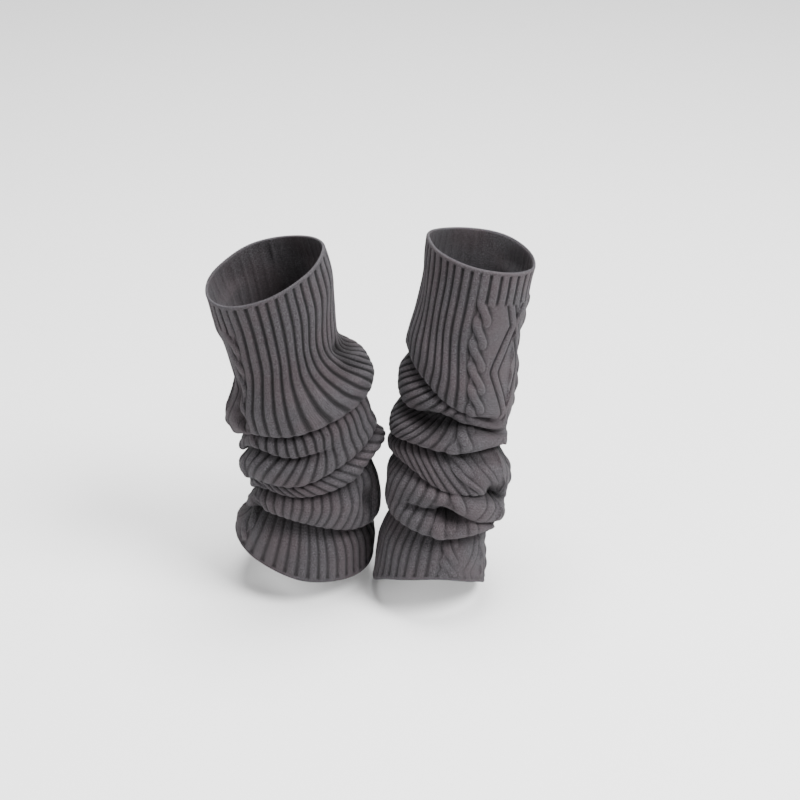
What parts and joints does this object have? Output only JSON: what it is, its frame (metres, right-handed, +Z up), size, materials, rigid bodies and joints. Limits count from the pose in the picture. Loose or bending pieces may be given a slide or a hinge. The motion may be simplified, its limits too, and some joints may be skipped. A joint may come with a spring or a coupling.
{
  "type": "pair of leg warmers",
  "caption": "Worn, slouched pair of charcoal leg warmers in a wide rib, with a panel of rope cables and knitted diamonds on each outer side, open at calf and ankle.",
  "frame": {"origin": "midway between the two calves that hold the pair, at the height of the top edges", "axes": "+Z up along the legs, -Y to the wearer's front, +X to the wearer's left"},
  "size_m": [0.2678, 0.142, 0.3256],
  "materials": {
    "grey_rib_knit": "brushed heathered yarn, wide rib",
    "grey_cable_knit": "brushed heathered yarn, plain knit with raised cables"
  },
  "bodies": {
    "root": {"right_ribbed_part": "grey_rib_knit", "right_cable_panel": "grey_cable_knit", "left_ribbed_part": "grey_rib_knit", "left_cable_panel": "grey_cable_knit"}
  },
  "joints": []
}
